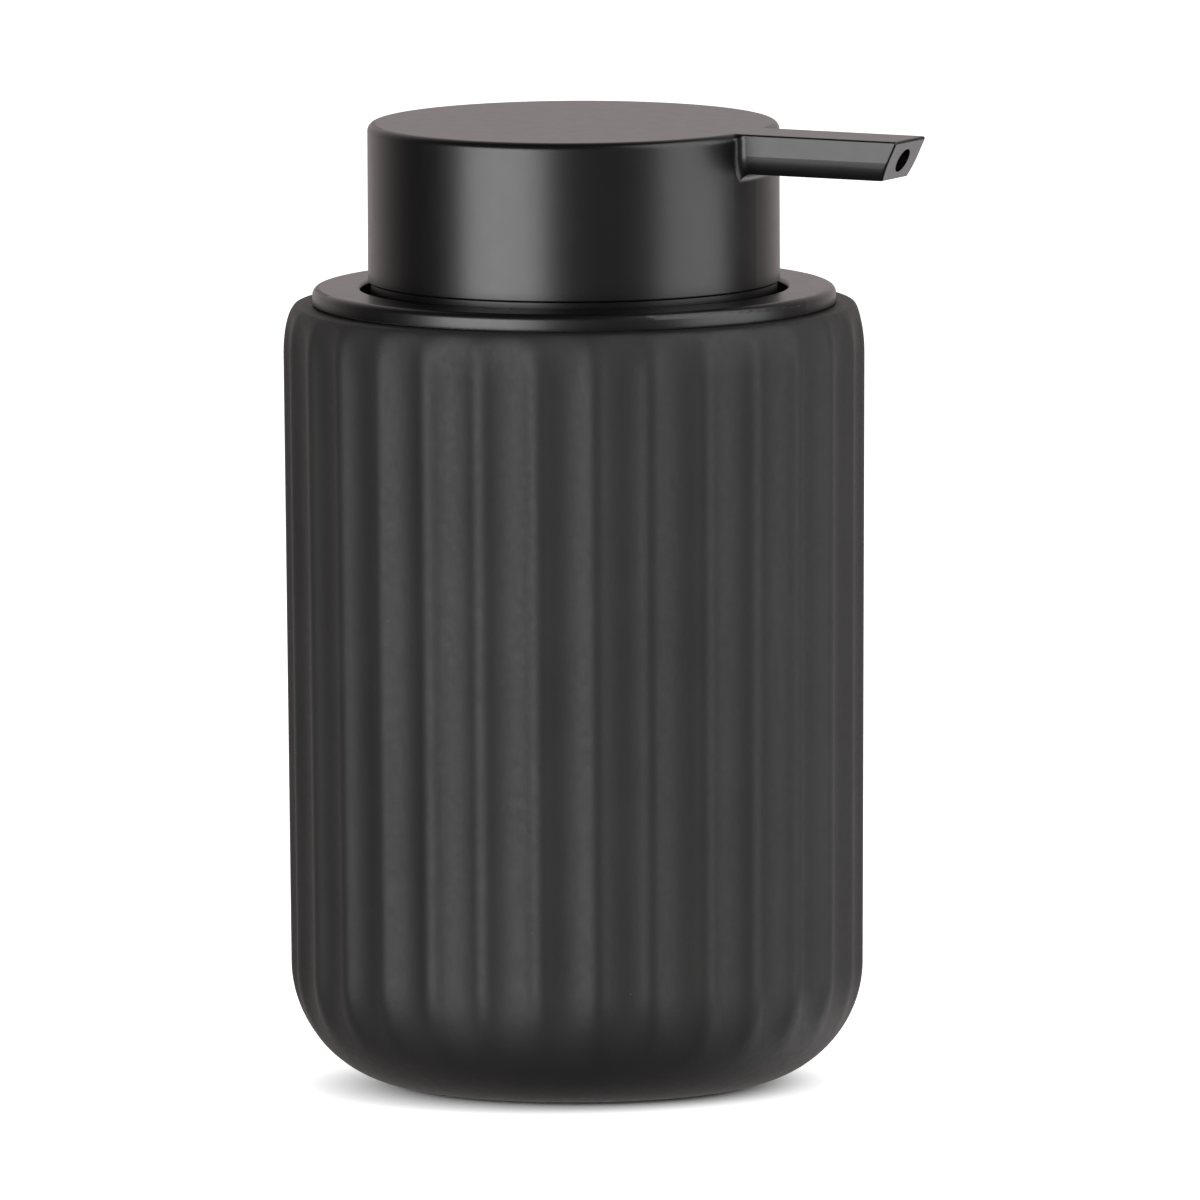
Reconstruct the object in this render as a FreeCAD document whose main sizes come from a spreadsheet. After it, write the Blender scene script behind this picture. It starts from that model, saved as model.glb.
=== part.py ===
import FreeCAD, Part
import math
import os
import re
import Sketcher

# Soap pump dispenser: a fluted ceramic bottle and a pump that lifts out of it.
# Millimetres. The pump's axis is Z, the bottle stands on z = 0, the spout points along +X.

TOLERANCE = 1e-6    # a length or volume below this counts as nothing
CLOSE = 1e-3        # two places nearer than this are the same edge

# Driving dimensions. A name that ends in _z is a height above the table, _r a radius.
SIZES = {
    # bottle
    "crest_foot_r": 39.38,      # ridge radius, extended down to the table
    "crest_rim_r": 40.16,       # ridge radius, extended up to the rim
    "crest_hair": 0.02,         # the plain outline stands this much outside the ridges
    "flute_count": 31,
    "flute_depth": 0.88,
    "ridge_round": 2.6,         # radius of the rounded ridge between two flutes
    "bottle_base_z": 0.2,
    "base_corner": 17.1,
    "rim_z": 108.15,
    "shoulder_wide": 1.8,       # the shoulder is a quarter of an ellipse
    "shoulder_tall": 6.6,
    "wall": 5.0,
    "mouth_r": 33.0,
    "mouth_low_z": 101.0,
    "mouth_edge": 0.6,
    "neck_slope": 2,            # rise over run inside, from the cavity's wall to the mouth
    "pad_r": 18.8,
    "pad_gap": 0.2,
    "pad_top_z": 1.2,
    # collar: ring and cup
    "ring_r": 36.1,
    "ring_low_z": 108.45,
    "ring_top_z": 110.6,
    "ring_edge": 1.0,
    "recess_r": 29.5,
    "recess_edge": 0.5,
    "cup_r": 31.2,
    "cup_corner": 1.2,
    "cup_floor_z": 95.5,
    "cup_floor": 2.0,
    "cup_hole_r": 8.7,
    # seal between the cup and the bottle's mouth
    "seal_flange_r": 35.5,
    "seal_flange_z": 108.2,
    "seal_r": 31.9,
    "seal_low_z": 97.5,
    "fin_r": 32.92,
    "fin_tall": 1.6,
    "fin_rise": 0.55,           # the fin's edge starts this far above its foot
    "fin_edge": 0.25,
    "fin_pitch": 1.9,
    "fin_first_z": 102.0,
    "fin_count": 3,
    # pump housing
    "flange_r": 12.3,
    "flange_low_z": 96.3,
    "flange_top_z": 98.3,
    "housing_r": 8.5,
    "bore_r": 6.5,
    "bore_low_z": 60.5,
    "housing_low_z": 57.5,
    "chamber_r": 3.4,
    "inlet_cone_z": 56.5,       # top of the inlet valve's 45 degree seat
    "inlet_r": 1.6,
    "socket_r": 3.0,
    "socket_top_z": 53.0,
    "tail_r": 5.0,
    "tail_low_z": 44.0,
    "vent_r": 0.6,
    "vent_z": 89.4,
    # pieces that hold the housing
    "gasket_hole_r": 8.7,
    "nut_across": 26.0,         # across the hexagon's corners
    "nut_tall": 3.0,
    "cap_top_z": 101.6,
    "cap_edge": 1.2,
    "cap_spigot_r": 6.45,
    "cap_spigot_z": 95.4,
    "cap_hole_r": 4.1,
    "wiper_r": 6.0,
    "wiper_hole_r": 4.05,
    "wiper_low_z": 100.4,
    "wiper_lip": 0.5,
    "wiper_lip_tall": 0.3,
    # plunger
    "stem_r": 4.0,
    "stem_bore_r": 1.9,
    "stem_top_z": 127.6,
    "stem_spigot_r": 3.2,
    "stem_foot_r": 4.3,
    "stem_foot_z": 86.8,
    "stem_foot_step": 0.4,
    "stem_edge": 0.5,
    "piston_low_z": 88.0,
    "piston_top_z": 95.2,
    "piston_lip_r": 6.43,
    "piston_waist_r": 5.7,
    "piston_lip": 1.6,
    "piston_edge": 0.4,
    "outlet_bore_top_z": 121.5,
    "outlet_r": 1.3,
    "outlet_cone_z": 123.3,     # foot of the outlet valve's 45 degree seat
    "outlet_chamber_r": 2.6,
    "groove_r": 3.0,
    "groove_low_z": 118.4,
    "groove_tall": 1.3,
    "ring_wire_r": 0.5,
    # valve balls
    "inlet_ball_r": 2.5,
    "outlet_ball_r": 2.0,
    "ball_gap": 0.03,
    "retainer_top_z": 62.0,
    "retainer_lip_z": 63.6,
    "retainer_lip_r": 4.4,
    "retainer_lip": 0.7,
    "retainer_hole_r": 1.4,
    "retainer_slot_r": 0.8,
    "retainer_slots_at": 2.75,
    "retainer_slot_count": 6,
    # spring
    "spring_r": 5.3,
    "spring_wire_r": 0.45,
    "spring_turns": 8,
    "spring_gap": 0.05,
    # dip tube
    "dip_r": 3.0,
    "dip_bore_r": 2.0,
    "dip_low_z": 8.0,
    "dip_end_gap": 0.2,         # between the tube's top and the socket's end
    # head
    "head_top_z": 133.34,
    "drum_r": 28.4,
    "drum_edge": 1.1,
    "drum_low_z": 111.3,
    "drum_lip": 0.35,
    "skirt_r": 28.0,
    "skirt_low_z": 106.0,
    "drum_wall": 1.4,
    "drum_roof": 1.2,
    "spout_start": 26.66,       # just inside the drum's wall
    "spout_reach": 52.6,
    "spout_half": 4.45,
    "spout_foot_half": 3.7,
    "spout_straight": 3.0,
    "spout_tall": 5.6,
    "spout_belly_r": 6.5,       # below the straight part the sides curve inwards
    "spout_edge": 0.3,
    "spout_slant": 25.6,
    "spout_root": 1.3,
    "spout_bore_r": 1.6,
    "spout_bore_down": 3.0,
    "spout_bore_start": 23.4,   # inside the drum, so that the bore passes its wall
    # socket inside the head
    "boss_r": 7.5,
    "boss_edge": 1.0,
    "boss_low_z": 114.0,
    "boss_bore_r": 4.08,
    "plate_low_z": 124.2,
    "plate": 2.2,
    "plate_gap": 0.05,
    "plate_hole_r": 5.5,
    "plate_holes_at": 16.5,
    "plate_hole_count": 6,
    "stop_pin_r": 1.0,
    "stop_pin_z": 128.4,
    "ceiling_z": 131.6,
    "nozzle_r": 1.55,
    "nozzle_bore_r": 1.15,
    "nozzle_seat": 2.5,
    "nozzle_start": 4.5,
    "nozzle_short": 4.0,        # how far inside the spout's tip the tube ends
    # shared
    "snug_gap": 0.02,           # between pieces that are screwed or pressed together
    "spare": 1.0,               # how far a cut runs past the solid
}

doc = FreeCAD.newDocument("SoapPump")
sheet = doc.addObject("Spreadsheet::Sheet", "Sizes")
for row, (alias, value) in enumerate(SIZES.items(), start=1):
    sheet.set(f"A{row}", alias)
    sheet.set(f"B{row}", str(value))
    sheet.setAlias(f"B{row}", alias)
doc.recompute()

subparts = []


def sized(text):
    """Turn an expression in plain size names into one that reads the sheet."""
    return re.sub(r"\b[a-z][a-z0-9_]*\b(?!\()", lambda name: "Sizes." + name.group(), text)


def number(text):
    """The value of an expression in plain size names."""
    value = sheet.evalExpression(sized(text))
    return float(getattr(value, "Value", value))


def bind(thing, path, text):
    thing.setExpression(path, sized(text))


def keep(thing, label):
    """Name a finished sub-part; its label is its file's name."""
    thing.Label = label
    subparts.append(thing)
    return thing


# ---------------------------------------------------------------- sketches and bodies


def new_body(name):
    return doc.addObject("PartDesign::Body", name)


def plane(body, role):
    return next(face for face in body.Origin.OriginFeatures if face.Role == role)


def new_sketch(body, role, offset=None):
    """A sketch on one of the body's own origin planes, moved along its normal."""
    sketch = body.newObject("Sketcher::SketchObject", body.Name + "Sketch")
    sketch.AttachmentSupport = (plane(body, role), [""])
    sketch.MapMode = "FlatFace"
    if offset is not None:
        bind(sketch, "AttachmentOffset.Base.z", offset)
    return sketch


def place_point(sketch, geometry, corner, across, up):
    """Tie one end of a line to its distances from the sketch's origin."""
    for kind, text, axis in (("DistanceX", across, -2), ("DistanceY", up, -1)):
        if abs(number(text)) < TOLERANCE:
            sketch.addConstraint(Sketcher.Constraint("PointOnObject", geometry, corner, axis))
            continue
        index = sketch.addConstraint(Sketcher.Constraint(kind, -1, 1, geometry, corner, number(text)))
        bind(sketch, f"Constraints[{index}]", text)


def bulging_arc(start, end, radius):
    """A counter-clockwise arc between two points, less than half a turn."""
    chord = end - start
    inwards = FreeCAD.Vector(-chord.y, chord.x, 0).normalize()
    centre = (start + end) * 0.5 + inwards * math.sqrt(radius**2 - (chord.Length / 2) ** 2)
    circle = Part.Circle(centre, FreeCAD.Vector(0, 0, 1), radius)
    first, last = (math.atan2(p.y - centre.y, p.x - centre.x) for p in (start, end))
    return Part.ArcOfCircle(circle, first, last)


def draw_polygon(sketch, corners, bulges=None):
    """A closed outline; each corner is a pair of expressions.

    The sides are straight, but those in bulges, by number, are outward arcs of a given radius.
    """
    bulges = bulges or {}
    points = [FreeCAD.Vector(number(a), number(b), 0) for a, b in corners]
    count = len(points)
    for i in range(count):
        start, end = points[i], points[(i + 1) % count]
        if i in bulges:
            sketch.addGeometry(bulging_arc(start, end, number(bulges[i])))
        else:
            sketch.addGeometry(Part.LineSegment(start, end))
    for i in range(count):
        sketch.addConstraint(Sketcher.Constraint("Coincident", i, 2, (i + 1) % count, 1))
    for i, (across, up) in enumerate(corners):
        place_point(sketch, i, 1, across, up)
    for i, radius in bulges.items():
        index = sketch.addConstraint(Sketcher.Constraint("Radius", i, number(radius)))
        bind(sketch, f"Constraints[{index}]", radius)


def round_sketch_corner(sketch, corner, radius):
    """Round the corner of a polygon where its line number `corner` starts."""
    trim, keep_corner = True, True
    sketch.fillet(corner, 1, number(radius), trim, keep_corner)
    arcs = [i for i, piece in enumerate(sketch.Geometry) if isinstance(piece, Part.ArcOfCircle)]
    index = sketch.addConstraint(Sketcher.Constraint("Radius", arcs[-1], number(radius)))
    bind(sketch, f"Constraints[{index}]", radius)


def draw_circle(sketch, radius, across="0", up="0"):
    centre = FreeCAD.Vector(number(across), number(up), 0)
    circle = sketch.addGeometry(Part.Circle(centre, FreeCAD.Vector(0, 0, 1), number(radius)))
    index = sketch.addConstraint(Sketcher.Constraint("Radius", circle, number(radius)))
    bind(sketch, f"Constraints[{index}]", radius)
    place_point(sketch, circle, 3, across, up)


def turn(body, outline):
    """Revolve an outline of (radius, height) corners about Z."""
    sketch = new_sketch(body, "XZ_Plane")
    draw_polygon(sketch, outline)
    turned = body.newObject("PartDesign::Revolution", body.Name + "Turned")
    turned.Profile = sketch
    turned.ReferenceAxis = (sketch, ["V_Axis"])
    turned.Angle = 360
    return turned


def round_rims(body, radius, rims):
    """Fillet the level circular edges at the given (radius, height) places."""
    doc.recompute()
    base = body.Tip
    wanted = [(number(r), number(z)) for r, z in rims]
    names = []
    for i, edge in enumerate(base.Shape.Edges, start=1):
        if not isinstance(edge.Curve, Part.Circle):
            continue
        level = edge.Curve.Center.z
        if any(abs(edge.Curve.Radius - r) < CLOSE and abs(level - z) < CLOSE for r, z in wanted):
            names.append(f"Edge{i}")
    assert names, f"{body.Name}: no rim found to round"
    fillet = body.newObject("PartDesign::Fillet", body.Name + "Round")
    fillet.Base = (base, names)
    bind(fillet, "Radius", radius)
    return fillet


def cut_through(body, role, offset, draw, length, reverse=False, both=False):
    """Pocket of what draw() puts on a plane; the volume has to drop."""
    doc.recompute()
    before = body.Shape.Volume
    sketch = new_sketch(body, role, offset)
    draw(sketch)
    pocket = body.newObject("PartDesign::Pocket", body.Name + "Pocket")
    pocket.Profile = sketch
    pocket.Reversed = reverse
    pocket.Midplane = both
    bind(pocket, "Length", length)
    doc.recompute()
    assert body.Shape.Volume < before - TOLERANCE, f"{body.Name}: the pocket cut nothing"
    return pocket


def spread_round(body, feature, count):
    """Repeat a feature evenly about Z."""
    pattern = body.newObject("PartDesign::PolarPattern", body.Name + "Pattern")
    pattern.Originals = [feature]
    pattern.Axis = (plane(body, "Z_Axis"), [""])
    pattern.Angle = 360
    bind(pattern, "Occurrences", count)
    body.Tip = pattern
    return pattern


# ---------------------------------------------------------------- bottle


def fluted_outline(name, crest, level):
    """One level outline of the bottle: convex ridge arcs and concave flute arcs, all tangent."""
    crest_r = number(crest)
    count = int(number("flute_count"))
    ridge = number("ridge_round")
    valley_r = crest_r - number("flute_depth")
    half_pitch = math.pi / count
    # A flute arc's centre lies outside the bottle, a ridge arc's inside. Their distance is the
    # sum of the two radii, which gives the flute's radius by the law of cosines.
    inner = crest_r - ridge
    cosine = math.cos(half_pitch)
    flute = (inner**2 + valley_r**2 - 2 * inner * valley_r * cosine - ridge**2) / (
        2 * ridge - 2 * valley_r + 2 * inner * cosine
    )
    outer = valley_r + flute
    lean = math.asin(outer * math.sin(half_pitch) / (ridge + flute))

    def at(radius, angle):
        return FreeCAD.Vector(radius * math.cos(angle), radius * math.sin(angle), number(level))

    def meeting(angle, side):
        """Where a ridge arc hands over to the flute on one side of it."""
        heading = angle + side * lean
        return at(inner, angle) + FreeCAD.Vector(math.cos(heading), math.sin(heading), 0) * ridge

    edges = []
    for i in range(count):
        angle = 2 * half_pitch * i
        start, end = meeting(angle, -1), meeting(angle, 1)
        after = meeting(angle + 2 * half_pitch, -1)
        edges.append(Part.Arc(start, at(crest_r, angle), end).toShape())
        edges.append(Part.Arc(end, at(valley_r, angle + half_pitch), after).toShape())
    outline = doc.addObject("Part::Feature", name)
    outline.Shape = Part.Wire(edges)
    return outline


def turned_part(name, geometry):
    """Part revolution of a loose sketch made of ready geometry in the XZ plane."""
    sketch = doc.addObject("Sketcher::SketchObject", name + "Sketch")
    sketch.Placement = FreeCAD.Placement(
        FreeCAD.Vector(0, 0, 0), FreeCAD.Rotation(FreeCAD.Vector(1, 0, 0), 90)
    )
    for piece in geometry:
        index = sketch.addGeometry(piece)
        sketch.addConstraint(Sketcher.Constraint("Block", index))
    turned = doc.addObject("Part::Revolution", name)
    turned.Source = sketch
    turned.Axis = FreeCAD.Vector(0, 0, 1)
    turned.Angle = 360
    turned.Solid = True
    return turned


def flat(x, y):
    return FreeCAD.Vector(x, y, 0)


def line(start, end):
    return Part.LineSegment(flat(*start), flat(*end))


def round_corner(centre, radius, start, end):
    circle = Part.Circle(flat(*centre), FreeCAD.Vector(0, 0, 1), radius)
    return Part.ArcOfCircle(circle, math.radians(start), math.radians(end))


def make_bottle():
    foot_z, rim_z = number("bottle_base_z"), number("rim_z")
    foot_r = number("crest_foot_r + crest_hair")
    rim_r = number("crest_rim_r + crest_hair")
    corner = number("base_corner")
    wide, tall = number("shoulder_wide"), number("shoulder_tall")
    shoulder_z = rim_z - tall

    def wall_r(z):
        return foot_r + (rim_r - foot_r) * z / rim_z

    corner_z = foot_z + corner
    corner_r = wall_r(corner_z) - corner
    top_r = wall_r(shoulder_z)
    ellipse = Part.Ellipse(flat(top_r - wide, shoulder_z), tall, wide)
    ellipse.AngleXU = math.radians(90)
    shoulder = Part.ArcOfEllipse(ellipse, math.radians(270), math.radians(360))
    outside = turned_part(
        "BottleOutside",
        [
            line((0, foot_z), (corner_r, foot_z)),
            round_corner((corner_r, corner_z), corner, 270, 360),
            line((corner_r + corner, corner_z), (top_r, shoulder_z)),
            shoulder,
            line((top_r - wide, rim_z), (0, rim_z)),
            line((0, rim_z), (0, foot_z)),
        ],
    )

    flutes = doc.addObject("Part::Loft", "Flutes")
    flutes.Sections = [
        fluted_outline("FootOutline", "crest_foot_r", "0"),
        fluted_outline("RimOutline", "crest_rim_r", "rim_z"),
    ]
    flutes.Solid = True
    flutes.Ruled = True

    fluted = doc.addObject("Part::MultiCommon", "FlutedBlank")
    fluted.Shapes = [outside, flutes]

    wall = number("wall")
    inner_corner = corner - wall
    mouth_r, mouth_z = number("mouth_r"), number("mouth_low_z")
    cone_z = mouth_z - number("neck_slope") * (top_r - wall - mouth_r)
    cavity_r = wall_r(cone_z) - wall
    edge = number("mouth_edge")
    cavity = turned_part(
        "Cavity",
        [
            line((0, corner_z - inner_corner), (corner_r, corner_z - inner_corner)),
            round_corner((corner_r, corner_z), inner_corner, 270, 360),
            line((corner_r + inner_corner, corner_z), (cavity_r, cone_z)),
            line((cavity_r, cone_z), (mouth_r, mouth_z)),
            line((mouth_r, mouth_z), (mouth_r, rim_z - edge)),
            line((mouth_r, rim_z - edge), (mouth_r + edge, rim_z)),
            line((mouth_r + edge, rim_z), (mouth_r + edge, rim_z + edge)),
            line((mouth_r + edge, rim_z + edge), (0, rim_z + edge)),
            line((0, rim_z + edge), (0, corner_z - inner_corner)),
        ],
    )

    pad_seat = doc.addObject("Part::Cylinder", "PadSeat")
    bind(pad_seat, "Radius", "pad_r + pad_gap")
    bind(pad_seat, "Height", "pad_top_z")

    hollows = doc.addObject("Part::MultiFuse", "Hollows")
    hollows.Shapes = [cavity, pad_seat]
    bottle = doc.addObject("Part::Cut", "Bottle")
    bottle.Base = fluted
    bottle.Tool = hollows
    keep(bottle, "bottle")


def make_base_pad():
    body = new_body("BasePad")
    turn(body, [("0", "0"), ("pad_r", "0"), ("pad_r", "pad_top_z"), ("0", "pad_top_z")])
    keep(body, "base_pad")


# ---------------------------------------------------------------- collar and seal


def make_collar():
    body = new_body("Collar")
    turn(
        body,
        [
            ("cup_hole_r", "cup_floor_z - cup_floor"),
            ("cup_r", "cup_floor_z - cup_floor"),
            ("cup_r", "ring_low_z"),
            ("ring_r", "ring_low_z"),
            ("ring_r", "ring_top_z"),
            ("recess_r", "ring_top_z"),
            ("recess_r", "cup_floor_z"),
            ("cup_hole_r", "cup_floor_z"),
        ],
    )
    round_rims(body, "ring_edge", [("ring_r", "ring_top_z")])
    round_rims(body, "recess_edge", [("recess_r", "ring_top_z"), ("recess_r", "cup_floor_z")])
    round_rims(body, "cup_corner", [("cup_r", "cup_floor_z - cup_floor")])
    keep(body, "collar")


def make_collar_seal():
    outline = [
        ("cup_r", "seal_low_z"),
        ("seal_r", "seal_low_z"),
    ]
    for i in range(int(number("fin_count"))):
        low = f"fin_first_z + {i} * fin_pitch"
        outline += [
            ("seal_r", low),
            ("fin_r", low + " + fin_rise"),
            ("fin_r", low + " + fin_rise + fin_edge"),
            ("seal_r", low + " + fin_tall"),
        ]
    outline += [
        ("seal_r", "seal_flange_z"),
        ("seal_flange_r", "seal_flange_z"),
        ("seal_flange_r", "ring_low_z"),
        ("cup_r", "ring_low_z"),
    ]
    body = new_body("CollarSeal")
    turn(body, outline)
    keep(body, "collar_seal")


# ---------------------------------------------------------------- pump housing and its fixings


def make_housing():
    body = new_body("PumpHousing")
    turn(
        body,
        [
            ("socket_r", "tail_low_z"),
            ("tail_r", "tail_low_z"),
            ("tail_r", "housing_low_z"),
            ("housing_r", "housing_low_z + housing_r - tail_r"),
            ("housing_r", "flange_low_z"),
            ("flange_r", "flange_low_z"),
            ("flange_r", "flange_top_z"),
            ("bore_r", "flange_top_z"),
            ("bore_r", "bore_low_z"),
            ("chamber_r", "bore_low_z"),
            ("chamber_r", "inlet_cone_z"),
            ("inlet_r", "inlet_cone_z - chamber_r + inlet_r"),
            ("inlet_r", "socket_top_z"),
            ("socket_r", "socket_top_z"),
        ],
    )
    cut_through(
        body, "YZ_Plane", "0", lambda s: draw_circle(s, "vent_r", "0", "vent_z"), "housing_r + spare"
    )
    keep(body, "pump_housing")


def make_gasket():
    body = new_body("HousingGasket")
    turn(
        body,
        [
            ("gasket_hole_r", "cup_floor_z"),
            ("flange_r", "cup_floor_z"),
            ("flange_r", "flange_low_z"),
            ("gasket_hole_r", "flange_low_z"),
        ],
    )
    keep(body, "housing_gasket")


def make_nut():
    hexagon = doc.addObject("Part::Prism", "NutHexagon")
    hexagon.Polygon = 6
    bind(hexagon, "Circumradius", "nut_across / 2")
    bind(hexagon, "Height", "nut_tall")
    hole = doc.addObject("Part::Cylinder", "NutHole")
    bind(hole, "Radius", "housing_r + snug_gap")
    bind(hole, "Height", "nut_tall")
    nut = doc.addObject("Part::Cut", "RetainingNut")
    nut.Base = hexagon
    nut.Tool = hole
    bind(nut, "Placement.Base.z", "cup_floor_z - cup_floor - nut_tall")
    keep(nut, "retaining_nut")


def make_cap():
    body = new_body("HousingCap")
    turn(
        body,
        [
            ("cap_hole_r", "cap_spigot_z"),
            ("cap_spigot_r", "cap_spigot_z"),
            ("cap_spigot_r", "flange_top_z"),
            ("flange_r", "flange_top_z"),
            ("flange_r", "cap_top_z - cap_edge"),
            ("flange_r - cap_edge", "cap_top_z"),
            ("wiper_r", "cap_top_z"),
            ("wiper_r", "wiper_low_z"),
            ("cap_hole_r", "wiper_low_z"),
        ],
    )
    keep(body, "housing_cap")


def make_wiper():
    body = new_body("StemWiper")
    turn(
        body,
        [
            ("wiper_hole_r + wiper_lip", "wiper_low_z"),
            ("wiper_r", "wiper_low_z"),
            ("wiper_r", "cap_top_z"),
            ("wiper_hole_r", "cap_top_z"),
            ("wiper_hole_r", "cap_top_z - wiper_lip_tall"),
        ],
    )
    keep(body, "stem_wiper")


def make_retainer():
    body = new_body("BallRetainer")
    turn(
        body,
        [
            ("retainer_hole_r", "bore_low_z"),
            ("bore_r - snug_gap", "bore_low_z"),
            ("bore_r - snug_gap", "retainer_top_z"),
            ("retainer_lip_r", "retainer_top_z"),
            ("retainer_lip_r", "retainer_lip_z"),
            ("retainer_lip_r - retainer_lip", "retainer_lip_z"),
            ("retainer_lip_r - retainer_lip", "retainer_top_z"),
            ("retainer_hole_r", "retainer_top_z"),
        ],
    )
    slot = cut_through(
        body,
        "XY_Plane",
        "retainer_top_z",
        lambda s: draw_circle(
            s, "retainer_slot_r", "retainer_slots_at * cos(30)", "retainer_slots_at * sin(30)"
        ),
        "retainer_top_z - bore_low_z + spare",
    )
    spread_round(body, slot, "retainer_slot_count")
    keep(body, "ball_retainer")


def make_dip_tube():
    body = new_body("DipTube")
    turn(
        body,
        [
            ("dip_bore_r", "dip_low_z"),
            ("dip_r - snug_gap", "dip_low_z"),
            ("dip_r - snug_gap", "socket_top_z - dip_end_gap"),
            ("dip_bore_r", "socket_top_z - dip_end_gap"),
        ],
    )
    # The lower end is cut at 45 degrees, so that it can't seal itself against the floor.
    wedge = [
        ("-dip_r - spare", "dip_low_z - spare"),
        ("dip_r + spare", "dip_low_z - spare"),
        ("dip_r + spare", "dip_low_z + 2 * dip_r + spare"),
    ]
    cut_through(
        body,
        "XZ_Plane",
        "0",
        lambda s: draw_polygon(s, wedge),
        "4 * dip_r",
        both=True,
    )
    keep(body, "dip_tube")


# ---------------------------------------------------------------- plunger


def make_stem():
    body = new_body("Stem")
    turn(
        body,
        [
            ("stem_bore_r", "stem_foot_z"),
            ("stem_foot_r - stem_edge", "stem_foot_z"),
            ("stem_foot_r", "piston_low_z - stem_foot_step"),
            ("stem_foot_r", "piston_low_z"),
            ("stem_spigot_r", "piston_low_z"),
            ("stem_spigot_r", "piston_top_z"),
            ("stem_r", "piston_top_z"),
            ("stem_r", "groove_low_z"),
            ("groove_r", "groove_low_z"),
            ("groove_r", "groove_low_z + groove_tall"),
            ("stem_r", "groove_low_z + groove_tall"),
            ("stem_r", "stem_top_z - stem_edge"),
            ("stem_r - stem_edge", "stem_top_z"),
            ("outlet_chamber_r", "stem_top_z"),
            ("outlet_chamber_r", "outlet_cone_z + outlet_chamber_r - outlet_r"),
            ("outlet_r", "outlet_cone_z"),
            ("outlet_r", "outlet_bore_top_z + stem_bore_r - outlet_r"),
            ("stem_bore_r", "outlet_bore_top_z"),
        ],
    )
    keep(body, "stem")


def make_stem_ring():
    ring = doc.addObject("Part::Torus", "StemRing")
    bind(ring, "Radius1", "groove_r + ring_wire_r + snug_gap")
    bind(ring, "Radius2", "ring_wire_r")
    bind(ring, "Placement.Base.z", "groove_low_z + groove_tall / 2")
    keep(ring, "stem_o_ring")


def make_piston():
    body = new_body("Piston")
    turn(
        body,
        [
            ("stem_spigot_r", "piston_low_z"),
            ("piston_lip_r - piston_edge", "piston_low_z"),
            ("piston_lip_r", "piston_low_z + piston_edge"),
            ("piston_lip_r", "piston_low_z + piston_lip"),
            ("piston_waist_r", "piston_low_z + 2 * piston_lip"),
            ("piston_waist_r", "piston_top_z - 2 * piston_lip"),
            ("piston_lip_r", "piston_top_z - piston_lip"),
            ("piston_lip_r", "piston_top_z - piston_edge"),
            ("piston_lip_r - piston_edge", "piston_top_z"),
            ("stem_spigot_r", "piston_top_z"),
        ],
    )
    keep(body, "piston")


def make_ball(name, label, radius, seat_line):
    """A ball on a 45 degree seat; seat_line is the height where the seat's cone would close."""
    ball = doc.addObject("Part::Sphere", name)
    bind(ball, "Radius", radius)
    bind(ball, "Placement.Base.z", f"{seat_line} + ({radius} + ball_gap) * sqrt(2)")
    keep(ball, label)


def make_spring():
    margin = "spring_wire_r + spring_gap"
    height = f"piston_low_z - retainer_top_z - 2 * ({margin})"
    helix = doc.addObject("Part::Helix", "SpringLine")
    helix.SegmentLength = 1
    bind(helix, "Radius", "spring_r")
    bind(helix, "Height", height)
    bind(helix, "Pitch", f"({height}) / spring_turns")
    wire = doc.addObject("Part::Circle", "SpringSection")
    bind(wire, "Radius", "spring_wire_r")
    bind(wire, "Placement.Base.x", "spring_r")
    wire.Placement = FreeCAD.Placement(
        wire.Placement.Base, FreeCAD.Rotation(FreeCAD.Vector(1, 0, 0), 90)
    )
    doc.recompute()
    spring = doc.addObject("Part::Sweep", "ReturnSpring")
    spring.Sections = [wire]
    spring.Spine = (helix, [f"Edge{i + 1}" for i in range(len(helix.Shape.Edges))])
    spring.Solid = True
    spring.Frenet = True
    bind(spring, "Placement.Base.z", f"retainer_top_z + {margin}")
    keep(spring, "return_spring")


# ---------------------------------------------------------------- head


def round_spout_root(body):
    """Fillet where the spout's sides and underside leave the drum's wall."""
    doc.recompute()
    base = body.Tip
    drum_r = number("drum_r")
    spout_low = number("head_top_z - spout_tall") - CLOSE
    widest = number("2 * spout_half + spare")
    names = []
    for i, edge in enumerate(base.Shape.Edges, start=1):
        box = edge.BoundBox
        on_wall = all(abs(math.hypot(v.X, v.Y) - drum_r) < CLOSE for v in edge.Vertexes)
        if box.XMin > 0 and on_wall and box.ZMin > spout_low and box.YLength < widest:
            names.append(f"Edge{i}")
    fillet = body.newObject("PartDesign::Fillet", "SpoutRoot")
    fillet.Base = (base, names)
    bind(fillet, "Radius", "spout_root")
    return fillet


def round_spout_end(body):
    """Soften the outline of the spout's slanted end, but not the bore's mouth in it."""
    doc.recompute()
    base = body.Tip
    slant = math.radians(number("spout_slant"))
    outward = FreeCAD.Vector(math.cos(slant), 0, -math.sin(slant))
    tip = FreeCAD.Vector(number("spout_reach"), 0, number("head_top_z"))
    names = []
    for i, edge in enumerate(base.Shape.Edges, start=1):
        spots = [vertex.Point for vertex in edge.Vertexes] + [edge.CenterOfMass]
        in_face = all(abs((spot - tip).dot(outward)) < CLOSE for spot in spots)
        whole_loop = len(edge.Vertexes) == 1
        if in_face and spots[0].x > number("drum_r") and not whole_loop:
            names.append(f"Edge{i}")
    fillet = body.newObject("PartDesign::Fillet", "SpoutEnd")
    fillet.Base = (base, names)
    bind(fillet, "Radius", "spout_edge")
    return fillet


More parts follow.
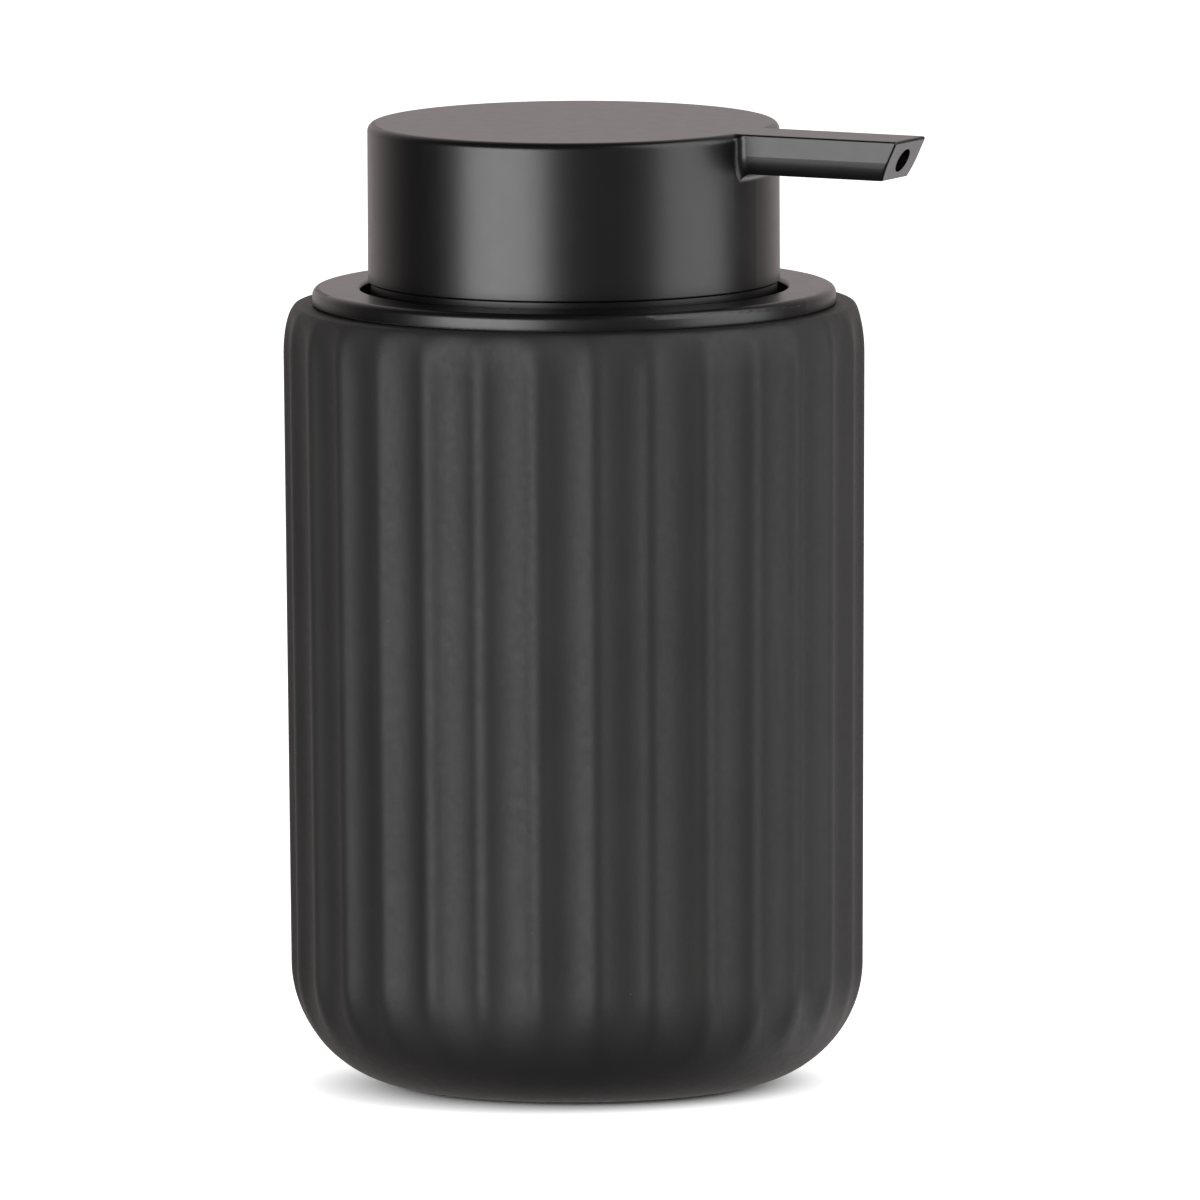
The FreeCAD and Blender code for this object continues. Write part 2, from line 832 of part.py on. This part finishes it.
def make_head():
    body = new_body("PumpHead")
    turn(
        body,
        [
            ("skirt_r - drum_wall", "skirt_low_z"),
            ("skirt_r", "skirt_low_z"),
            ("skirt_r", "drum_low_z"),
            ("drum_r", "drum_low_z"),
            ("drum_r", "head_top_z"),
            ("0", "head_top_z"),
            ("0", "head_top_z - drum_roof"),
            ("skirt_r - drum_wall", "head_top_z - drum_roof"),
        ],
    )
    round_rims(body, "drum_lip", [("drum_r", "drum_low_z")])
    round_rims(body, "drum_edge", [("drum_r", "head_top_z")])
    # The spout's section: upright sides, a narrower foot, its top level with the drum's.
    section = new_sketch(body, "YZ_Plane", "spout_start")
    draw_polygon(
        section,
        [
            ("-spout_half", "head_top_z"),
            ("-spout_half", "head_top_z - spout_straight"),
            ("-spout_foot_half", "head_top_z - spout_tall"),
            ("spout_foot_half", "head_top_z - spout_tall"),
            ("spout_half", "head_top_z - spout_straight"),
            ("spout_half", "head_top_z"),
        ],
        bulges={1: "spout_belly_r", 3: "spout_belly_r"},
    )
    for top_corner in (0, 5):
        round_sketch_corner(section, top_corner, "spout_edge")
    spout = body.newObject("PartDesign::Pad", "Spout")
    spout.Profile = section
    bind(spout, "Length", "spout_reach - spout_start")
    doc.recompute()

    def slanted_end(sketch):
        lean = "(spout_tall + spare) * tan(spout_slant)"
        draw_polygon(
            sketch,
            [
                ("spout_reach", "head_top_z"),
                ("spout_reach + spare", "head_top_z"),
                ("spout_reach + spare", "head_top_z - spout_tall - spare"),
                (f"spout_reach - {lean}", "head_top_z - spout_tall - spare"),
            ],
        )

    cut_through(body, "XZ_Plane", "0", slanted_end, "4 * spout_half", both=True)
    cut_through(
        body,
        "YZ_Plane",
        "spout_bore_start",
        lambda s: draw_circle(s, "spout_bore_r", "0", "head_top_z - spout_bore_down"),
        "spout_reach - spout_bore_start + spare",
        reverse=True,
    )
    round_spout_root(body)
    round_spout_end(body)
    keep(body, "pump_head")


def make_insert():
    body = new_body("HeadInsert")
    roof = "head_top_z - drum_roof"
    turn(
        body,
        [
            ("boss_bore_r", "boss_low_z"),
            ("boss_r - boss_edge", "boss_low_z"),
            ("boss_r", "boss_low_z + boss_edge"),
            ("boss_r", "plate_low_z"),
            ("skirt_r - drum_wall - plate_gap", "plate_low_z"),
            ("skirt_r - drum_wall - plate_gap", "plate_low_z + plate"),
            ("boss_r", "plate_low_z + plate"),
            ("boss_r", roof),
            ("0", roof),
            ("0", "stop_pin_z"),
            ("stop_pin_r", "stop_pin_z"),
            ("stop_pin_r", "ceiling_z"),
            ("boss_bore_r", "ceiling_z"),
        ],
    )
    hole = cut_through(
        body,
        "XY_Plane",
        "plate_low_z + plate",
        lambda s: draw_circle(s, "plate_hole_r", "plate_holes_at * cos(30)", "plate_holes_at * sin(30)"),
        "plate + spare",
    )
    spread_round(body, hole, "plate_hole_count")
    cut_through(
        body,
        "YZ_Plane",
        "nozzle_seat",
        lambda s: draw_circle(s, "nozzle_r + snug_gap", "0", "head_top_z - spout_bore_down"),
        "boss_r",
        reverse=True,
    )
    keep(body, "head_insert")


def make_nozzle_tube():
    body = new_body("NozzleTube")
    section = new_sketch(body, "YZ_Plane", "nozzle_start")
    draw_circle(section, "nozzle_r", "0", "head_top_z - spout_bore_down")
    draw_circle(section, "nozzle_bore_r", "0", "head_top_z - spout_bore_down")
    tube = body.newObject("PartDesign::Pad", "Tube")
    tube.Profile = section
    bind(tube, "Length", "spout_reach - nozzle_short - nozzle_start")
    keep(body, "nozzle_tube")


# ---------------------------------------------------------------- build, check, write

make_bottle()
make_base_pad()
make_collar()
make_collar_seal()
make_housing()
make_gasket()
make_nut()
make_cap()
make_wiper()
make_retainer()
make_dip_tube()
make_stem()
make_stem_ring()
make_piston()
make_ball("InletBall", "inlet_ball", "inlet_ball_r", "inlet_cone_z - chamber_r")
make_ball("OutletBall", "outlet_ball", "outlet_ball_r", "outlet_cone_z - outlet_r")
make_spring()
make_head()
make_insert()
make_nozzle_tube()
doc.recompute()

failed = [thing.Name for thing in doc.Objects if {"Invalid", "Error"} & set(thing.State)]
assert not failed, f"these objects failed: {failed}"
for part in subparts:
    shape = part.Shape
    assert not shape.isNull() and shape.isValid() and shape.Solids, f"{part.Label} has no sound shape"

os.makedirs("parts", exist_ok=True)
for part in subparts:
    part.Shape.exportStep(os.path.join("parts", part.Label + ".step"))
    size = part.Shape.BoundBox
    print(
        f"{part.Label}: {len(part.Shape.Solids)} solid, {part.Shape.Volume:.1f} mm3,"
        f" z {size.ZMin:.2f} to {size.ZMax:.2f}, x {size.XMin:.2f} to {size.XMax:.2f}"
    )
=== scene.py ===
import math

import bmesh
import bpy
import numpy as np
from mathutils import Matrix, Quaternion, Vector


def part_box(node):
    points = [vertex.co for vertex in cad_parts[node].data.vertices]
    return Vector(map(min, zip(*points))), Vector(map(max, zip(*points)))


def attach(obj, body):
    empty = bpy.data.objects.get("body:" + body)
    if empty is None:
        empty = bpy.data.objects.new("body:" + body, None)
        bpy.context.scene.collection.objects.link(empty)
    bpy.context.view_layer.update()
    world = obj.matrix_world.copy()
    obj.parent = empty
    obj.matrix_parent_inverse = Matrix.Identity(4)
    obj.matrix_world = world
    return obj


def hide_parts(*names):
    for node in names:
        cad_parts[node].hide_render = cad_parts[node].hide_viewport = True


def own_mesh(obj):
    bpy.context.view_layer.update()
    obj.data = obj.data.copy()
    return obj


# Looks of the soap pump dispenser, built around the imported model. Metres, +Z up, spout along +X.

MM = 0.001

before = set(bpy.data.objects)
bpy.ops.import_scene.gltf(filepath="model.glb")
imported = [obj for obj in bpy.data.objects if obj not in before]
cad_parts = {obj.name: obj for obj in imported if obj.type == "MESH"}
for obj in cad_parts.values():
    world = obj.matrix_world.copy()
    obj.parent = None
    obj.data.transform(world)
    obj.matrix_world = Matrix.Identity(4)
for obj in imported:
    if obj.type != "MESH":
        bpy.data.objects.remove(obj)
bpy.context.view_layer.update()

# ---------------------------------------------------------------- materials


class Paint:
    """A material's node tree with a short way to add nodes and links."""

    def __init__(self, name):
        self.material = bpy.data.materials.new(name)
        self.material.use_nodes = True
        self.tree = self.material.node_tree
        self.shader = self.tree.nodes["Principled BSDF"]
        self.place = self.node("ShaderNodeTexCoord").outputs["Object"]

    def node(self, kind, inputs=None, **settings):
        made = self.tree.nodes.new(kind)
        for key, value in settings.items():
            setattr(made, key, value)
        for key, value in (inputs or {}).items():
            if hasattr(value, "is_output"):
                self.tree.links.new(value, made.inputs[key])
            else:
                made.inputs[key].default_value = value
        return made

    def noise(self, scale, detail=4.0, roughness=0.55, place=None):
        vector = place or self.place
        inputs = {"Vector": vector, "Scale": scale, "Detail": detail, "Roughness": roughness}
        return self.node("ShaderNodeTexNoise", inputs).outputs["Fac"]

    def stretched(self, scale):
        """The object's coordinates scaled by a different factor each way."""
        inputs = {"Vector": self.place, "Scale": scale}
        return self.node("ShaderNodeMapping", inputs).outputs["Vector"]

    def remap(self, value, low, high, from_low=0.3, from_high=0.7):
        inputs = {
            "Value": value,
            "From Min": from_low,
            "From Max": from_high,
            "To Min": low,
            "To Max": high,
        }
        return self.node("ShaderNodeMapRange", inputs).outputs["Result"]

    def ramp(self, value, stops):
        made = self.node("ShaderNodeValToRGB", {"Fac": value})
        elements = made.color_ramp.elements
        while len(elements) < len(stops):
            elements.new(0.5)
        for element, (position, colour) in zip(elements, stops):
            element.position = position
            element.color = (*colour, 1.0)
        return made.outputs["Color"]

    def bump(self, height, strength, distance, before=None):
        inputs = {"Height": height, "Strength": strength, "Distance": distance}
        if before is not None:
            inputs["Normal"] = before
        return self.node("ShaderNodeBump", inputs).outputs["Normal"]

    def feed(self, **inputs):
        """Links or sets the shader's inputs; underscores stand for spaces."""
        for key, value in inputs.items():
            socket = self.shader.inputs[key.replace("_", " ")]
            if hasattr(value, "is_output"):
                self.tree.links.new(value, socket)
            else:
                socket.default_value = value


def grey(level, warmth=0.0):
    return (level * (1 + warmth), level, level * (1 - warmth))


def ceramic_material():
    """Matte charcoal stoneware: fine grain, faint clouding, tiny pale specks."""
    paint = Paint("matte_ceramic")
    cloud = paint.noise(60.0, 3.0)
    colour = paint.ramp(cloud, [(0.3, grey(0.011, 0.02)), (0.7, grey(0.015, 0.02))])
    specks = paint.node(
        "ShaderNodeTexVoronoi", {"Vector": paint.place, "Scale": 700.0, "Randomness": 1.0}
    )
    speck = paint.remap(specks.outputs["Distance"], 1.0, 0.0, 0.03, 0.09)
    chosen = paint.remap(specks.outputs["Color"], 0.0, 1.0, 0.90, 0.93)
    amount = paint.node("ShaderNodeMath", {0: speck, 1: chosen}, operation="MULTIPLY")
    mixed = paint.node(
        "ShaderNodeMix",
        {"Factor": amount.outputs["Value"], 6: colour, 7: (0.09, 0.088, 0.085, 1.0)},
        data_type="RGBA",
    )
    grain = paint.noise(2600.0, 5.0, 0.7)
    soft = paint.noise(240.0, 3.0)
    normal = paint.bump(grain, 0.35, 0.00006)
    normal = paint.bump(soft, 0.15, 0.0003, normal)
    paint.feed(
        Base_Color=mixed.outputs[2],
        Roughness=paint.remap(paint.noise(900.0, 4.0), 0.55, 0.62),
        Normal=normal,
        Specular_IOR_Level=0.43,
    )
    return paint.material


def satin_black_material(name, level, rough, grain_scale):
    """Satin black coat: very fine orange peel, slight changes in sheen."""
    paint = Paint(name)
    tone = paint.noise(90.0, 3.0)
    colour = paint.ramp(tone, [(0.3, grey(level * 0.9, 0.02)), (0.7, grey(level * 1.1, 0.02))])
    peel = paint.noise(grain_scale, 3.0, 0.6)
    fine = paint.noise(grain_scale * 3.0, 4.0, 0.7)
    normal = paint.bump(peel, 0.08, 0.00004)
    normal = paint.bump(fine, 0.12, 0.00002, normal)
    paint.feed(
        Base_Color=colour,
        Roughness=paint.remap(paint.noise(420.0, 5.0), rough - 0.01, rough + 0.015),
        Normal=normal,
        IOR=1.5,
    )
    return paint.material


def rubber_material(name, level, rough):
    paint = Paint(name)
    tone = paint.noise(300.0, 3.0)
    colour = paint.ramp(tone, [(0.3, grey(level * 0.85)), (0.7, grey(level * 1.15))])
    grain = paint.noise(3200.0, 4.0, 0.7)
    paint.feed(
        Base_Color=colour,
        Roughness=paint.remap(paint.noise(700.0, 4.0), rough - 0.05, rough + 0.05),
        Normal=paint.bump(grain, 0.3, 0.00004),
    )
    return paint.material


def white_plastic_material(name, level, rough, see_through=0.0):
    """Natural polypropylene or polyethylene: milky, waxy, faint flow lines."""
    paint = Paint(name)
    flow = paint.noise(120.0, 4.0, 0.5, paint.stretched((1.0, 1.0, 0.25)))
    colour = paint.ramp(
        flow, [(0.3, grey(level * 0.94, 0.015)), (0.7, grey(level * 1.02, 0.01))]
    )
    grain = paint.noise(1800.0, 3.0)
    paint.feed(
        Base_Color=colour,
        Roughness=paint.remap(paint.noise(500.0, 4.0), rough - 0.05, rough + 0.06),
        Normal=paint.bump(grain, 0.15, 0.00003),
        Subsurface_Weight=0.25,
        Subsurface_Radius=(0.002, 0.002, 0.0018),
        Subsurface_Scale=0.5,
        Transmission_Weight=see_through,
        IOR=1.49,
    )
    return paint.material


def steel_material(name, rough, drawn):
    """Stainless steel; drawn wire has fine lines, a ball is polished."""
    paint = Paint(name)
    lines = paint.noise(4000.0 if drawn else 1500.0, 3.0)
    colour = paint.ramp(lines, [(0.3, grey(0.50, 0.01)), (0.7, grey(0.62, 0.01))])
    paint.feed(
        Base_Color=colour,
        Metallic=1.0,
        Roughness=paint.remap(paint.noise(900.0, 4.0), rough * 0.8, rough * 1.3),
        Normal=paint.bump(lines, 0.2 if drawn else 0.03, 0.00002),
    )
    return paint.material


def dress(material, *nodes):
    """Give CAD nodes a better material, in every slot they have."""
    for name in nodes:
        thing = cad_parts[name]
        for entry in thing.material_slots:
            entry.material = material


# ---------------------------------------------------------------- bottle


FLUTES = 31
COLUMNS_PER_FLUTE = 16
FLUTE_DEPTH = 0.88 * MM
RIDGE_ROUND = 2.6 * MM
CREST_FOOT = 39.38 * MM     # radius of the ridges, extended down to the table
CREST_RIM = 40.16 * MM
BASE_CORNER = 17.1 * MM
SHOULDER_WIDE = 1.8 * MM
SHOULDER_TALL = 6.6 * MM
WALL = 5.0 * MM
MOUTH_R = 33.0 * MM
MOUTH_LOW = 101.0 * MM      # below this height the cavity widens from the mouth to the wall
NECK_SLOPE = 2              # rise over run of that widening
MOUTH_EDGE = 0.6 * MM
PAD_GAP = 0.2 * MM          # round the base pad in its seat
SEAT_EDGE = 0.1 * MM        # small bevels at the seat's ceiling and at the foot
SEAT_BEVEL = 0.2 * MM
FADE_FOOT = (5.0 * MM, 18.0 * MM)   # heights above the foot where the flutes start and are full
FADE_RIM = 9.0 * MM                 # depth below the rim where the flutes are full

bottle_low, bottle_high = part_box("bottle")
pad_low, pad_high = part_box("base_pad")


def crest_r(z):
    """Radius of the ridges: the wall leans out a little towards the rim."""
    return CREST_FOOT + (CREST_RIM - CREST_FOOT) * z / bottle_high.z


def arc_points(centre, radii, start, end, count):
    """Points on a quarter of a circle or ellipse in the (radius, height) plane."""
    return [
        (
            centre[0] + radii[0] * math.cos(math.radians(a)),
            centre[1] + radii[1] * math.sin(math.radians(a)),
        )
        for a in np.linspace(start, end, count)
    ]


def bottle_profile():
    """The bottle's section without flutes, from the foot's middle round to the cavity's middle."""
    foot_z, rim_z = bottle_low.z, bottle_high.z
    seat_r, seat_z = pad_high.x + PAD_GAP, pad_high.z
    corner_z = foot_z + BASE_CORNER
    corner_r = crest_r(corner_z) - BASE_CORNER
    shoulder_z = rim_z - SHOULDER_TALL
    top_r = crest_r(shoulder_z)
    cone_z = MOUTH_LOW - NECK_SLOPE * (top_r - WALL - MOUTH_R)
    cavity_r = crest_r(cone_z) - WALL
    inner = BASE_CORNER - WALL

    outside = arc_points((corner_r, corner_z), (BASE_CORNER, BASE_CORNER), -90, 0, 40)
    outside += [(crest_r(z), z) for z in np.linspace(corner_z, shoulder_z, 24)[1:-1]]
    outside += arc_points(
        (top_r - SHOULDER_WIDE, shoulder_z), (SHOULDER_WIDE, SHOULDER_TALL), 0, 90, 30
    )
    under = [(0.0, seat_z), (seat_r * 0.5, seat_z)]
    under += [(seat_r - SEAT_EDGE, seat_z), (seat_r, seat_z - SEAT_EDGE)]
    under += [(seat_r, foot_z + SEAT_BEVEL), (seat_r + SEAT_BEVEL, foot_z)]
    inside = arc_points(
        (MOUTH_R + MOUTH_EDGE, rim_z - MOUTH_EDGE), (MOUTH_EDGE, MOUTH_EDGE), 90, 180, 6
    )
    inside += [(MOUTH_R, z) for z in np.linspace(rim_z - 2 * MOUTH_EDGE, MOUTH_LOW, 5)]
    inside += [(cavity_r, cone_z)]
    inside += [(crest_r(z) - WALL, z) for z in np.linspace(cone_z, corner_z, 8)[1:]]
    inside += arc_points((corner_r, corner_z), (inner, inner), 0, -90, 16)[1:]
    inside += [(corner_r * 0.5, corner_z - inner), (0.0, corner_z - inner)]
    return under, outside, inside


def fluted_radius(crest, angles):
    """Level outline of the flutes: ridge arcs and flute arcs that meet at a tangent."""
    half_pitch = math.pi / FLUTES
    valley = crest - FLUTE_DEPTH
    inner = crest - RIDGE_ROUND
    flute = (
        inner**2 + valley**2 - 2 * inner * valley * math.cos(half_pitch) - RIDGE_ROUND**2
    ) / (2 * RIDGE_ROUND - 2 * valley + 2 * inner * math.cos(half_pitch))
    outer = valley + flute
    lean = math.asin(outer * math.sin(half_pitch) / (RIDGE_ROUND + flute))
    meeting = math.atan2(
        RIDGE_ROUND * math.sin(lean), inner + RIDGE_ROUND * math.cos(lean)
    )
    turn = np.abs((angles + half_pitch) % (2 * half_pitch) - half_pitch)
    on_ridge = inner * np.cos(turn) + np.sqrt(
        np.maximum(RIDGE_ROUND**2 - (inner * np.sin(turn)) ** 2, 0.0)
    )
    away = half_pitch - turn
    in_flute = outer * np.cos(away) - np.sqrt(
        np.maximum(flute**2 - (outer * np.sin(away)) ** 2, 0.0)
    )
    return np.where(turn < meeting, on_ridge, in_flute)


def smooth_step(value, low, high):
    t = min(max((value - low) / (high - low), 0.0), 1.0)
    return t * t * (3 - 2 * t)


def flute_fade(z):
    """How deep the flutes are at a height: they run out softly at the foot and at the rim."""
    below_rim = min((bottle_high.z - z) / FADE_RIM, 1.0)
    return smooth_step(z - bottle_low.z, *FADE_FOOT) * (1 - (1 - below_rim) ** 2)


def make_bottle():
    columns = FLUTES * COLUMNS_PER_FLUTE
    angles = np.arange(columns) * 2 * math.pi / columns
    under, outside, inside = bottle_profile()
    rings = []
    for radius, z in under:
        rings.append((np.full(columns, radius), z))
    for radius, z in outside:
        depths = crest_r(z) - fluted_radius(crest_r(z), angles)
        rings.append((radius - flute_fade(z) * depths, z))
    for radius, z in inside:
        rings.append((np.full(columns, radius), z))

    shell = bmesh.new()
    rows = []
    for radii, z in rings:
        if radii[0] == 0.0:
            rows.append([shell.verts.new((0, 0, z))])
            continue
        rows.append(
            [
                shell.verts.new((r * math.cos(a), r * math.sin(a), z))
                for r, a in zip(radii, angles)
            ]
        )
    for low, high in zip(rows, rows[1:]):
        for i in range(columns):
            j = (i + 1) % columns
            if len(low) == 1:
                shell.faces.new((low[0], high[j], high[i]))
            elif len(high) == 1:
                shell.faces.new((low[i], low[j], high[0]))
            else:
                shell.faces.new((low[i], low[j], high[j], high[i]))
    bmesh.ops.recalc_face_normals(shell, faces=shell.faces)
    return finish_mesh(shell, "bottle_shell", ceramic_material())


def finish_mesh(made, name, material):
    """Turn a bmesh into a smooth-shaded object with one material."""
    mesh = bpy.data.meshes.new(name)
    made.to_mesh(mesh)
    made.free()
    for face in mesh.polygons:
        face.use_smooth = True
    mesh.materials.append(material)
    thing = bpy.data.objects.new(name, mesh)
    bpy.context.scene.collection.objects.link(thing)
    return thing


# ---------------------------------------------------------------- return spring


WIRE = 0.45 * MM            # radius of the spring's wire
TURNS = 9.5
DEAD_TURNS = 1.25           # closed turns at each end
STEPS_PER_TURN = 40
WIRE_SIDES = 10


def make_spring():
    """Compression spring with closed, flat end coils."""
    low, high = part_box("return_spring")
    coil = high.x - WIRE
    travel = np.linspace(0.0, TURNS, int(TURNS * STEPS_PER_TURN) + 1)
    climb = np.clip((travel - DEAD_TURNS) / (TURNS - 2 * DEAD_TURNS), 0.0, 1.0)
    ends = np.minimum(travel, DEAD_TURNS) + np.maximum(travel - (TURNS - DEAD_TURNS), 0.0)
    height = high.z - low.z - 2 * WIRE - 2 * DEAD_TURNS * 2 * WIRE
    heights = low.z + WIRE + ends * 2 * WIRE + climb * height

    made = bmesh.new()
    loops = []
    for t, z in zip(travel, heights):
        a = 2 * math.pi * t
        loop = []
        for k in range(WIRE_SIDES):
            b = 2 * math.pi * k / WIRE_SIDES
            r = coil + WIRE * math.cos(b)
            loop.append(made.verts.new((r * math.cos(a), r * math.sin(a), z + WIRE * math.sin(b))))
        loops.append(loop)
    for first, second in zip(loops, loops[1:]):
        for k in range(WIRE_SIDES):
            n = (k + 1) % WIRE_SIDES
            made.faces.new((first[k], first[n], second[n], second[k]))
    made.faces.new(loops[0][::-1])
    made.faces.new(loops[-1])
    bmesh.ops.recalc_face_normals(made, faces=made.faces)
    return finish_mesh(made, "return_spring_coil", steel_material("spring_wire", 0.28, True))


# ---------------------------------------------------------------- stage


CAMERA_AZIMUTH = 28.0
CAMERA_ELEVATION = 6.75
CAMERA_DISTANCE = 6.0
CAMERA_ROLL = 0.29
FRAME_WIDTH = 165.5 * MM    # width of the picture at the object
CAMERA_AIM = Vector((0, 0, 66 * MM))
AIM_RIGHT = 3.35 * MM       # how far the picture's middle is beside and above that point
AIM_UP = 0.97 * MM
LIGHT_AIM = Vector((0, 0, 70 * MM))
LIGHT_DISTANCE = 1.6


def direction(azimuth, elevation):
    """Unit vector from the object towards a camera at that azimuth and elevation."""
    a, e = math.radians(azimuth), math.radians(elevation)
    return Vector((math.sin(a) * math.cos(e), -math.cos(a) * math.cos(e), math.sin(e)))


def make_camera():
    back = direction(CAMERA_AZIMUTH, CAMERA_ELEVATION)
    right = direction(CAMERA_AZIMUTH + 90, 0)
    aim = CAMERA_AIM + right * AIM_RIGHT + back.cross(right) * AIM_UP
    data = bpy.data.cameras.new("camera")
    data.sensor_width = 36.0
    data.lens = data.sensor_width * CAMERA_DISTANCE / FRAME_WIDTH
    data.clip_end = 100.0
    camera = bpy.data.objects.new("camera", data)
    camera.location = aim + back * CAMERA_DISTANCE
    turn = (-back).to_track_quat("-Z", "Y")
    roll = Quaternion((0, 0, 1), math.radians(-CAMERA_ROLL))
    camera.rotation_mode = "QUATERNION"
    camera.rotation_quaternion = turn @ roll
    bpy.context.scene.collection.objects.link(camera)
    bpy.context.scene.camera = camera


FLOOR_RADIUS = 14.0
FLOOR_GLOW = (0.024, 0.040)     # distances from the axis where the glow starts and is full


def make_floor():
    """A white sweep: away from the object's foot its own glow keeps it evenly white."""
    paint = Paint("pale_floor")
    tone = paint.ramp(paint.noise(6.0, 2.0), [(0.3, grey(0.88)), (0.7, grey(0.90))])
    away = paint.node("ShaderNodeVectorMath", {0: paint.place}, operation="LENGTH")
    glow = paint.remap(away.outputs["Value"], 0.0, 1.0, *FLOOR_GLOW)
    paint.feed(
        Base_Color=tone, Roughness=0.9, Emission_Color=(1, 1, 1, 1), Emission_Strength=glow
    )
    made = bmesh.new()
    bmesh.ops.create_circle(made, cap_ends=True, segments=96, radius=FLOOR_RADIUS)
    floor = finish_mesh(made, "floor", paint.material)
    floor.visible_glossy = False
    floor.visible_diffuse = False
    floor.visible_shadow = False


def make_light(name, azimuth, elevation, width, height, power):
    """A softbox that faces the object; its azimuth is counted from the camera's."""
    data = bpy.data.lights.new(name, "AREA")
    data.shape = "RECTANGLE"
    data.size = width
    data.size_y = height
    data.energy = power
    light = bpy.data.objects.new(name, data)
    back = direction(CAMERA_AZIMUTH + azimuth, elevation)
    light.location = LIGHT_AIM + back * LIGHT_DISTANCE
    light.rotation_mode = "QUATERNION"
    light.rotation_quaternion = (-back).to_track_quat("-Z", "Y")
    light.visible_camera = False
    bpy.context.scene.collection.objects.link(light)


WORLD_FADE = (0.2, 1.0)     # cosines of the angle from straight behind where the glow fades
WORLD_GLOW = (0.04, 0.74)   # its strength there
ROSY = (1.08, 0.96, 0.965, 1.0)
WHITE = (1.0, 1.0, 1.0, 1.0)


def make_world():
    """Faintly rosy white behind the object, dim in front, plain white where the camera sees it."""
    world = bpy.data.worlds.new("studio")
    world.use_nodes = True
    tree = world.node_tree
    towards_back = -direction(CAMERA_AZIMUTH, 0.0)
    place = tree.nodes.new("ShaderNodeTexCoord")
    facing = tree.nodes.new("ShaderNodeVectorMath")
    facing.operation = "DOT_PRODUCT"
    facing.inputs[1].default_value = towards_back
    glow = tree.nodes.new("ShaderNodeMapRange")
    glow.interpolation_type = "SMOOTHSTEP"
    glow.inputs["From Min"].default_value, glow.inputs["From Max"].default_value = WORLD_FADE
    glow.inputs["To Min"].default_value, glow.inputs["To Max"].default_value = WORLD_GLOW
    path = tree.nodes.new("ShaderNodeLightPath")
    seen = tree.nodes.new("ShaderNodeMath")
    seen.operation = "MAXIMUM"
    tree.links.new(place.outputs["Generated"], facing.inputs[0])
    tree.links.new(facing.outputs["Value"], glow.inputs["Value"])
    tree.links.new(glow.outputs["Result"], seen.inputs[0])
    tree.links.new(path.outputs["Is Camera Ray"], seen.inputs[1])
    colour = tree.nodes.new("ShaderNodeMix")
    colour.data_type = "RGBA"
    colour.inputs[6].default_value = ROSY
    colour.inputs[7].default_value = WHITE
    tree.links.new(path.outputs["Is Camera Ray"], colour.inputs["Factor"])
    shade = tree.nodes["Background"]
    tree.links.new(colour.outputs[2], shade.inputs["Color"])
    tree.links.new(seen.outputs["Value"], shade.inputs["Strength"])
    bpy.context.scene.world = world


# ---------------------------------------------------------------- put together


def build():
    bottle = make_bottle()
    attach(bottle, "bottle_body")
    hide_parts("bottle")

    spring = make_spring()
    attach(spring, "pump_base")
    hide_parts("return_spring")
    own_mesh(spring)

    dress(satin_black_material("satin_black_head", 0.002, 0.325, 900.0), "pump_head")
    dress(satin_black_material("satin_black_collar", 0.002, 0.33, 1100.0), "collar")
    dress(rubber_material("black_silicone", 0.012, 0.55), "collar_seal", "stem_o_ring", "stem_wiper")
    dress(rubber_material("grey_gasket", 0.10, 0.6), "housing_gasket")
    dress(rubber_material("pad_foam", 0.02, 0.85), "base_pad")
    dress(
        white_plastic_material("natural_polypropylene", 0.72, 0.38),
        "pump_housing", "retaining_nut", "housing_cap", "ball_retainer", "stem", "head_insert",
    )
    dress(white_plastic_material("soft_polyethylene", 0.80, 0.48), "piston")
    dress(white_plastic_material("milky_tube", 0.82, 0.25, 0.35), "dip_tube", "nozzle_tube")
    dress(steel_material("ball_steel", 0.12, False), "inlet_ball", "outlet_ball")


build()
make_camera()
make_floor()
make_light("key_left", -40, 1, 1.4, 1.04, 30)
make_light("fill_right", 71, 18, 1.4, 2.6, 33)
make_light("front", 20, -8, 2.0, 2.0, 2.4)
make_light("bounce_right", 125, -32, 0.9, 0.8, 4)
make_world()
bpy.context.scene.view_settings.view_transform = "Standard"
